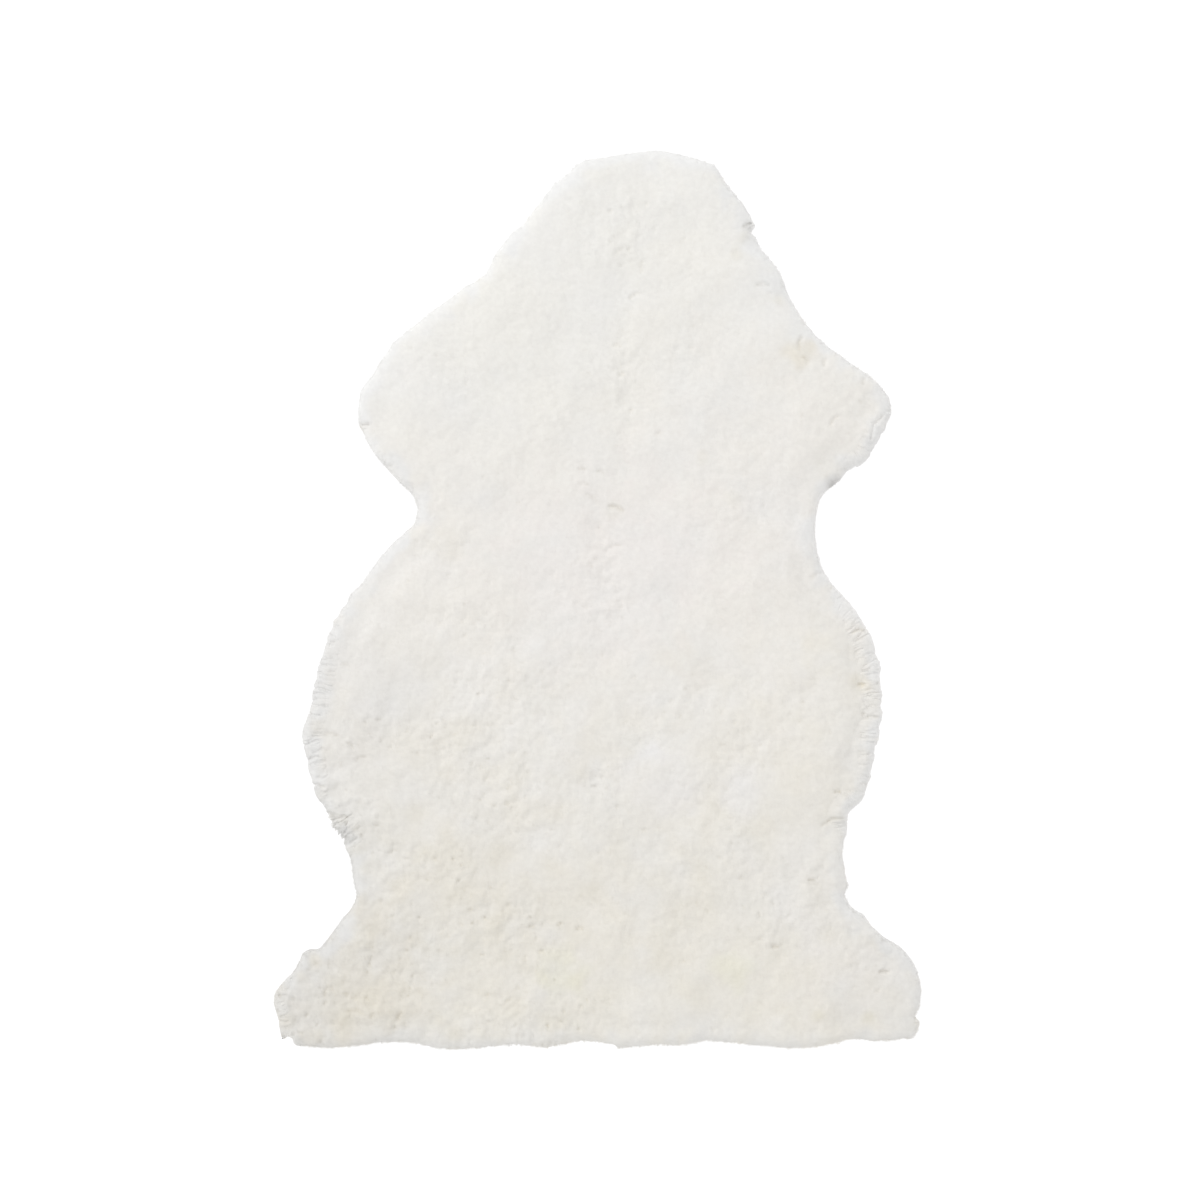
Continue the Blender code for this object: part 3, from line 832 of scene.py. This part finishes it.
def make_fleece(pelt):
    """The body of the wool, a closed form with a tufted top and a flat foot inside the hide's thickness."""

    def inset(places):
        long = pelt.long_wool(places)
        return FLEECE_INSET + FLEECE_LOCK_INSET * long + STRINGY_INSET * ramp(long, (STRINGY, 1))

    places, triangles, rim = plan_mesh(pelt, inset, FLEECE_SPACING)
    top = np.maximum(pelt.tufted(places) - pelt.bed(places), HIDE_THICKNESS)
    top[rim] = FLEECE_FOOT
    return add_wool("fleece", np.column_stack([places, top]), triangles.tolist() + [rim[::-1].tolist()], pelt)


def strip_mesh(pelt, along):
    """One strip of long wool over this run of the rim, as points and faces."""
    rows = (np.linspace(0, 1, STRIP_ROWS) ** 1.5)[:, None]  # closer together at the rim
    edge = pelt.edge(along)
    outward, long = pelt.outward(edge), pelt.long_wool(edge)
    notch = cut_depth(edge - NOTCH_INSET * outward, pelt.furrows + pelt.marks) / FURROW_DEPTH
    over = STRIP_WAVE * pelt.noise("strip edge", edge) - STRIP_INSET - NOTCH_DEPTH * notch
    over -= STRIP_STRINGY_INSET * ramp(long, (STRINGY, 1))
    offsets = between(rows, (over, -between(long, STRIP_REACH)))
    places = (edge + outward * offsets[..., None]).reshape(-1, 2)
    sunk = STRIP_SUNK * np.maximum(ramp(rows, (0.7, 1)), 1 - ramp(long, (STRIP_END, STRIP_FULL)))
    top = (pelt.tufted(places) - cut_depth(places, pelt.furrows)).reshape(sunk.shape)
    top = np.maximum(top - sunk, HIDE_THICKNESS)
    top[[0, -1]] = top[:, [0, -1]] = FLEECE_FOOT
    number = np.arange(top.size).reshape(top.shape)
    a, b, c, d = number[:-1, :-1], number[:-1, 1:], number[1:, 1:], number[1:, :-1]
    triangles = np.concatenate([faces_between(a, b, c), faces_between(a, c, d)])
    under = longest_loop(open_edges(triangles))[::-1]
    return np.column_stack([places, top.ravel()]), triangles.tolist() + [under.tolist()]


def make_strips(pelt):
    """The strips of long wool, as one piece."""
    along = np.arange(0, pelt.rim.length, STRIP_STEP)
    long = pelt.long_wool(pelt.edge(along)) > STRIP_END
    along, long = (np.roll(values, -np.argmin(long)) for values in (along, long))
    points, faces = np.empty((0, 3)), []
    for run in np.split(along, np.nonzero(np.diff(long))[0] + 1)[1::2]:
        own_points, own_faces = strip_mesh(pelt, run)
        faces += [[corner + len(points) for corner in face] for face in own_faces]
        points = np.concatenate([points, own_points])
    return add_wool("long_wool", points, faces, pelt)


def strand_mesh(paths, widths, ups):
    """Strands that follow paths, each closed and ending in a point, as points and triangles."""
    count, steps = paths.shape[:2]
    rings, sides = steps - 1, len(STRAND_SECTION)
    along = np.gradient(paths, axis=1)
    points = np.empty((count, rings * sides + 1, 3))
    for ring in range(rings):
        forward = unit(along[:, ring])
        side = unit(np.cross(forward, ups))
        over = np.cross(side, forward)
        width = (widths * (1 - (ring / rings) ** 2) ** 0.6)[:, None]
        for k, (across, up) in enumerate(STRAND_SECTION):
            points[:, ring * sides + k] = paths[:, ring] + (side * across + over * up) * width
    points[:, -1] = paths[:, -1]
    faces = [(0, k, k + 1) for k in range(1, sides - 1)]
    for a in range((rings - 1) * sides):
        b = a + 1 if (a + 1) % sides else a + 1 - sides
        faces += [(a, a + sides, b), (b, a + sides, b + sides)]
    last, tip = (rings - 1) * sides, rings * sides
    faces += [(last + k, tip, last + (k + 1) % sides) for k in range(sides)]
    faces = np.array(faces)[None] + (tip + 1) * np.arange(count)[:, None, None]
    return points.reshape(-1, 3), faces.reshape(-1, 3)


def add_strands(name, pelt, pieces, paths, width, tilt, draw):
    """Strands joined into this many pieces, in order along the rug. Their section tips over by about tilt."""
    count = len(paths)
    widths = width * draw.uniform(0.7, 1.3, count)
    ups = unit(np.column_stack([draw.normal(0, tilt, (count, 2)), np.ones(count)]))
    made = []
    for number, part in enumerate(np.array_split(np.argsort(paths[:, 0, 1]), pieces), 1):
        points, faces = strand_mesh(paths[part], widths[part], ups[part])
        made.append(add_wool(f"{name}_{number}", points, faces.tolist(), pelt))
        made[-1].data.shade_flat()
    return made


# ---- The wool. ----


def curves(roots, bends, tips, steps):
    """Points along quadratic curves, steps of them to a curve."""
    shares = np.linspace(0, 1, steps)[None, :, None]
    roots, bends, tips = roots[:, None], bends[:, None], tips[:, None]
    return (1 - shares) ** 2 * roots + 2 * shares * (1 - shares) * bends + shares**2 * tips


def wool_tint(pelt, places):
    """The colour of the wool at each place, with light and shade painted in along the rim, and shade in a few
    patches and in the pits.
    """
    y = places[:, 1]
    heights, *channels = np.array(TONES)[::-1].T
    colour = np.stack([np.interp(y, heights, channel) for channel in channels], axis=1)
    fleck = pelt.noise("fleck", places)
    # The patches: whiter, stained or duller wool, and a few of painted shade.
    for _, *middle, radius, red, green, blue in PATCHES:
        away = distance(places, middle) + 0.2 * radius * fleck
        colour += near(away, radius, 1.3)[:, None] * (red / 1000, green / 1000, blue / 1000)

    inside = pelt.inside.at(places)
    side, ahead = pelt.outward(places).T
    shade = 0.040 * side + 0.014 * side.clip(0, 1) + 0.030 * (-ahead).clip(0, 1) - 0.015
    colour += (near(inside, SHADED_RIM) * ramp(y, SHADED_FROM) * shade)[:, None]

    white = 0.5 * near(inside, WHITE_RIM) + 0.40 * pelt.noise("pale", places) + 0.20 * fleck
    white = white.clip(-0.3, 1)[:, None]
    grey = colour.mean(axis=1, keepdims=True)
    colour += (grey - colour) * 0.4 * white + 0.006 * white
    colour -= (ramp(y, BROWN_FROM) * pelt.noise("brown", places))[:, None] * BROWN
    colour -= HOLE_SHADE * (pelt.holes(places, pelt.liveliness(places)) / PIT_DEPTH)[:, None]

    cool = fade(1 - inside / COOL_RIM + 0.4 * fleck) * (0.65 - 0.35 * ramp(y, COOL_LESS_FROM))
    return (colour + (grey * COOL - colour) * cool[:, None]).clip(0, 1)


def wool_flow(pelt, places):
    """The way the wool lies in plan: swirls on the back that turn outwards near the rim."""
    angle = np.pi * (pelt.noise("flow", places) + 0.5 * pelt.noise("fine flow", places))
    rim = near(pelt.inside.at(places), COMBED_WIDTH)[:, None]
    return unit(ways(angle) * (1 - 0.8 * rim) + pelt.outward(places) * 1.5 * rim)


def make_tufts(pelt, surface, draw):
    """Curved strands that gather into the tufts of the fleece."""
    middles = pelt.tufts.points(pelt.low, pelt.high)
    middles = 2 * middles - pelt.shifted(middles, "tuft shift", TUFT_SHIFT)
    middles = middles[pelt.inside.at(middles) > TUFT_INSET]
    strands = (STRANDS_IN_TUFT + draw.uniform(0, 1, len(middles))).astype(int)
    lean = np.repeat(wool_flow(pelt, middles), strands, axis=0) * (TUFT_PITCH * 0.55)
    middle = np.repeat(middles, strands, axis=0)
    count = len(middle)
    around = ways(draw.uniform(0, 2 * np.pi, count))
    sideways = around[:, ::-1] * (-1, 1)
    root = middle + around * (TUFT_PITCH * draw.uniform(0.30, 0.62, count))[:, None] - 0.6 * lean
    tip = middle + lean + around * TUFT_PITCH * 0.14 + draw.normal(0, STRAND_SCATTER, (count, 2))
    bend = (root + tip) / 2 + sideways * (TUFT_PITCH * draw.uniform(-0.1, 0.5, count))[:, None]

    plan = curves(root, bend, tip, len(STRAND_LIFT))
    flat = plan.reshape(-1, 2)
    flat -= pelt.outward(flat) * (STRAND_INSET - pelt.inside.at(flat)).clip(0, None)[:, None]
    lift = STRAND_LIFT + STRAND_LIFTS * draw.uniform(-1, 1, (count, 1))
    rise = STRAND_RISE * (0.4 + 0.75 * pelt.liveliness(flat)).reshape(lift.shape)
    height = surface.at(flat).reshape(lift.shape) + lift * rise
    paths = np.concatenate([plan, np.maximum(height, STRAND_LOWEST)[..., None]], axis=2)
    return add_strands("wool", pelt, 4, paths, STRAND_WIDTH, 0.3, draw)


def outward_paths(pelt, along_root, along_tip, reach, overhang, layer, shell, draw):
    """Paths that run from inside the wool out over the rim, on shells nested by layer."""
    root_on_rim, tip_on_rim = pelt.edge(along_root), pelt.edge(along_tip)
    root = root_on_rim - pelt.outward(root_on_rim) * reach[:, None]
    tip = tip_on_rim + pelt.outward(tip_on_rim) * overhang[:, None]
    bend = (root + tip) / 2 + draw.normal(0, PATH_BEND, root.shape)
    plan = curves(root, bend, tip, PATH_STEPS)
    places = plan.reshape(-1, 2)
    height = (pelt.tufted(places, shell) - cut_depth(places, pelt.furrows)).reshape(plan.shape[:2])
    height = height * layer[:, None] + draw.normal(0, PATH_RISE, height.shape)
    return np.concatenate([plan, np.maximum(height, PATH_LOWEST)[..., None]], axis=2)


def make_rim(pelt, draw):
    """Strands that stand out all round the rim, gathered into locks where the wool is long."""
    count = RIM_STRANDS
    along = draw.uniform(0, pelt.rim.length, count)
    long = pelt.long_wool(pelt.edge(along))
    number = np.round(along / LOCK_PITCH).astype(int)
    locks = number.max() + 1
    centre = (number + draw.uniform(-0.25, 0.25, locks)[number]) * LOCK_PITCH
    end = draw.uniform(*RIM_LOCK_ENDS, locks)[number] * long
    sway = draw.normal(0, RIM_SWAY, locks)[number] + RIM_SWEEP * long

    layer = 1 - 0.7 * draw.uniform(0, 1, count)
    along_tip = along + (centre - along) * 0.5 * long + sway + draw.normal(0, RIM_SCATTER, count)
    reach = draw.uniform(*RIM_ROOTS, count) * (1 + 1.2 * long)
    overhang = end + draw.uniform(*RIM_ENDS, count) - RIM_TUCK * (1 - layer)
    past = STRAY_REACH * draw.uniform(0.3, 1, count)
    overhang += past * (draw.uniform(0, 1, count) < STRAY_SHARE)
    paths = outward_paths(pelt, along, along_tip, reach, overhang, layer, RIM_SHELL, draw)
    paths[:, 0, 2] -= RIM_ROOT_DEPTH
    return add_strands("rim_wool", pelt, 2, paths, RIM_STRAND_WIDTH, 0.25, draw)


def make_locks(pelt, draw):
    """Locks that hang in strings over the rim, each a ridge of strands that gather towards its tip."""
    centres = (np.arange(int(pelt.rim.length / LOCK_PITCH)) + 0.5) * LOCK_PITCH
    centres += draw.uniform(-0.3, 0.3, len(centres)) * LOCK_PITCH
    long = pelt.long_wool(pelt.edge(centres))
    centres, long = centres[long > STRINGY], long[long > STRINGY]
    locks = len(centres)
    reach = between(long, LOCK_REACH) * draw.uniform(0.6, 1.4, locks)
    overhang = draw.uniform(*LOCK_ENDS, locks) * between(long, (0.3, 1))
    sway = draw.normal(0, LOCK_SWAY, locks) + LOCK_SWEEP * long
    ridge = LOCK_RIDGE * draw.uniform(0.5, 1.3, locks)

    number = np.repeat(np.arange(locks), LOCK_STRANDS)
    count = len(number)
    across = draw.uniform(-0.5, 0.5, count)
    along = centres[number] + across * LOCK_WIDTH * 1.1
    along_tip = centres[number] + across * LOCK_WIDTH * between(long[number], (0.85, 0.35)) + sway[number]
    start = reach[number] * draw.uniform(0.3, 1, count)
    end = overhang[number] + draw.uniform(*LOCK_STRAND_ENDS, count)
    paths = outward_paths(pelt, along, along_tip, start, end, np.ones(count), LOCK_SHELL, draw)
    rise = LOCK_LIFT * (ridge[number] * (1 - 4 * across**2))[:, None]
    paths[:, :, 2] = np.maximum(paths[:, :, 2] + rise, LOCK_LOWEST)
    return add_strands("locks", pelt, 1, paths, LOCK_STRAND_WIDTH, 0.2, draw)


# ---- Materials. ----


def connect(tree, node, inputs):
    """Sets a node's inputs, each to a value or to another node's output."""
    for name, value in inputs.items():
        if isinstance(value, bpy.types.NodeSocket):
            tree.links.new(value, node.inputs[name])
        else:
            node.inputs[name].default_value = value
    return node


def add_node(tree, kind, inputs, **settings):
    node = tree.nodes.new("ShaderNode" + kind)
    for name, value in settings.items():
        setattr(node, name, value)
    return connect(tree, node, inputs)


def add_noise(tree, place, scale, detail=2):
    return add_node(tree, "TexNoise", {"Vector": place, "Scale": scale, "Detail": detail})


def spread(tree, noise, low, high, first=0, last=1):
    """A noise as a value from low, where it is first, to high, where it is last."""
    ends = {"From Min": first, "From Max": last, "To Min": low, "To Max": high}
    return add_node(tree, "MapRange", {"Value": noise.outputs["Fac"], **ends}).outputs["Result"]


def scaled(tree, colour, amount):
    return add_node(tree, "VectorMath", {0: colour, "Scale": amount}, operation="SCALE").outputs["Vector"]


def bumped(tree, noise, strength, distance):
    inputs = {"Height": noise.outputs["Fac"], "Strength": strength, "Distance": distance}
    return add_node(tree, "Bump", inputs).outputs["Normal"]


def new_material(name):
    """A material, its node tree, its shader, and the place on the object as an output."""
    material = bpy.data.materials.new(name)
    material.use_nodes = True
    tree = material.node_tree
    return material, tree, tree.nodes["Principled BSDF"], add_node(tree, "TexCoord", {}).outputs["Object"]


def wool_material():
    """Matt wool: flecks of light and dark, and fine fibres that swirl."""
    material, tree, shader, place = new_material("wool")
    tint = add_node(tree, "Attribute", {}, attribute_name="tint").outputs["Color"]
    flecks = add_noise(tree, place, scale=220, detail=3)
    swirl = {0: add_noise(tree, place, scale=90).outputs["Color"], 1: (0.024, 0.024, 0.024), 2: place}
    swirled = add_node(tree, "VectorMath", swirl, operation="MULTIPLY_ADD").outputs["Vector"]
    stretched = add_node(tree, "Mapping", {"Vector": swirled, "Scale": (1, 0.22, 0.6)}).outputs["Vector"]
    fibres = add_noise(tree, stretched, scale=1900, detail=3)
    connect(tree, shader, {
        "Base Color": scaled(tree, tint, spread(tree, flecks, low=0.975, high=1.02, first=0.3, last=0.7)),
        "Roughness": spread(tree, flecks, low=0.80, high=0.98),
        "Normal": bumped(tree, fibres, strength=0.7, distance=0.0004),
        "Sheen Weight": 0.1,
        "Specular IOR Level": 0.3,
    })
    return material


def hide_material():
    """Suede: the tanned flesh side, mottled, with a short nap."""
    material, tree, shader, place = new_material("hide")
    mottle, nap = add_noise(tree, place, scale=26, detail=5), add_noise(tree, place, scale=1300, detail=4)
    dark, pale = (0.70, 0.61, 0.50, 1), (0.86, 0.80, 0.71, 1)
    tint = add_node(tree, "Mix", {}, data_type="RGBA")
    connect(tree, tint, {"Factor": mottle.outputs["Fac"], 6: dark, 7: pale})
    connect(tree, shader, {
        "Base Color": scaled(tree, tint.outputs[2], spread(tree, nap, low=0.93, high=1.05)),
        "Roughness": spread(tree, mottle, low=0.84, high=0.97),
        "Normal": bumped(tree, nap, strength=0.5, distance=0.0003),
        "Specular IOR Level": 0.3,
    })
    return material


def floor_material():
    """A matt pale floor, which glows a little so that it is as white as the photograph's."""
    material, tree, shader, _ = new_material("floor")
    grey = (FLOOR_GREY, FLOOR_GREY, FLOOR_GREY, 1)
    glow = {"Emission Color": WHITE, "Emission Strength": FLOOR_GLOW}
    connect(tree, shader, {"Base Color": grey, "Roughness": 0.9, **glow})
    return material


# ---- The stage. ----


def make_stage():
    """The floor and the light, and how the picture shows them."""
    bpy.ops.mesh.primitive_plane_add(size=FLOOR_SIDE, location=(0, 0, FLOOR_HEIGHT))
    floor = bpy.context.object
    floor.name = "floor"
    floor.data.materials.append(floor_material())

    scene = bpy.context.scene
    scene.world = bpy.data.worlds.new("studio")
    scene.world.use_nodes = True
    tree = scene.world.node_tree
    connect(tree, tree.nodes["Background"], {"Color": WHITE, "Strength": WORLD_STRENGTH})

    key = bpy.data.objects.new("key", bpy.data.lights.new("key", "SUN"))
    key.data.energy = SUN_STRENGTH
    key.data.angle = SUN_ANGLE
    key.rotation_euler = Vector(SUN_PLACE).to_track_quat("Z", "Y").to_euler()
    scene.collection.objects.link(key)

    scene.view_settings.view_transform = "Standard"
    scene.cycles.diffuse_bounces = LIGHT_BOUNCES


def make_camera():
    """A camera straight above, with the rug where the photograph has it."""
    metres_a_pixel = (CAD_BOX[1][1] - CAD_BOX[0][1]) / (RUG_FOOT - RUG_TOP)
    camera = bpy.data.objects.new("camera", bpy.data.cameras.new("camera"))
    right = IMAGE_SIDE / 2 - (RUG_LEFT + RUG_RIGHT) / 2
    up = (RUG_TOP + RUG_FOOT) / 2 - IMAGE_SIDE / 2
    camera.location = (right * metres_a_pixel, up * metres_a_pixel, CAMERA_HEIGHT)
    camera.data.sensor_fit = "HORIZONTAL"
    camera.data.lens = camera.data.sensor_width * CAMERA_HEIGHT / (IMAGE_SIDE * metres_a_pixel)
    bpy.context.scene.collection.objects.link(camera)
    bpy.context.scene.camera = camera


def main():
    draw = np.random.default_rng(STRAND_SEED)
    pelt = Pelt(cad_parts[NODE])
    hide = make_hide(pelt)
    fleece, strips = make_fleece(pelt), make_strips(pelt)
    surface = Surface([fleece, strips])
    strands = [strips, *make_tufts(pelt, surface, draw), *make_rim(pelt, draw), *make_locks(pelt, draw)]
    wool = wool_material()
    for piece in [fleece, *strands]:
        piece.data.materials.append(wool)
        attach(piece, BODY)
    hide.data.materials.append(hide_material())
    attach(hide, BODY)
    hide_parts(NODE)
    make_stage()
    make_camera()


main()
